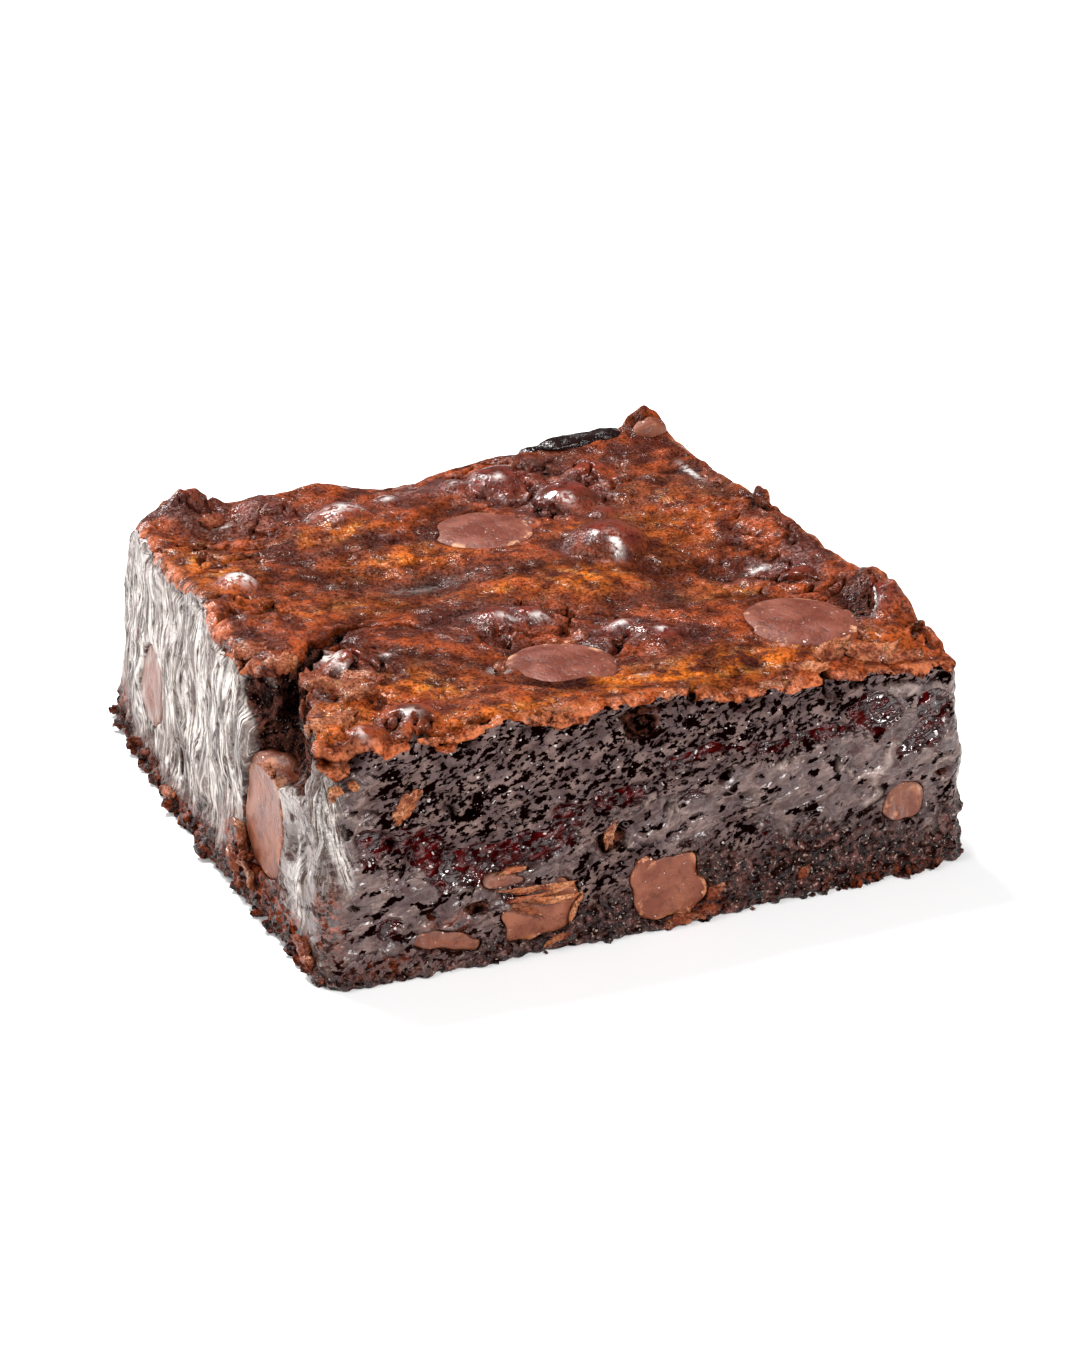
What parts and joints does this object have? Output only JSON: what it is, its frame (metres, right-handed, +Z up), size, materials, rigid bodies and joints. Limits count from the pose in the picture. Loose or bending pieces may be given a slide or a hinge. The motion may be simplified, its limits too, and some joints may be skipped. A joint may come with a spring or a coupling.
{
  "type": "chocolate brownie",
  "caption": "Cut square of fudgy chocolate brownie with a crackled crust and baked-in chocolate discs.",
  "frame": {"origin": "on the table, under the middle of the cut square's flat base", "axes": "+Z up through the crust, +X to the right along the front cut face, +Y back from that face"},
  "size_m": [0.0769, 0.0767, 0.0294],
  "materials": {
    "crumb_and_crust": "baked crumb, moist and near black at the cuts, with a shiny orange-brown crust",
    "chocolate": "milk chocolate, smooth and half glossy"
  },
  "bodies": {
    "root": {"brownie": "crumb_and_crust", "disc_back": "chocolate", "disc_front": "chocolate", "disc_right": "chocolate", "chip_left_front": "chocolate", "chip_left_back": "chocolate", "chip_front_a": "chocolate", "chip_front_b": "chocolate", "chip_front_c": "chocolate", "chip_front_d": "chocolate", "chip_front_e": "chocolate", "chip_right_a": "chocolate", "chip_right_b": "chocolate", "chip_back_a": "chocolate", "chip_back_b": "chocolate", "chip_peak": "chocolate"}
  },
  "joints": []
}
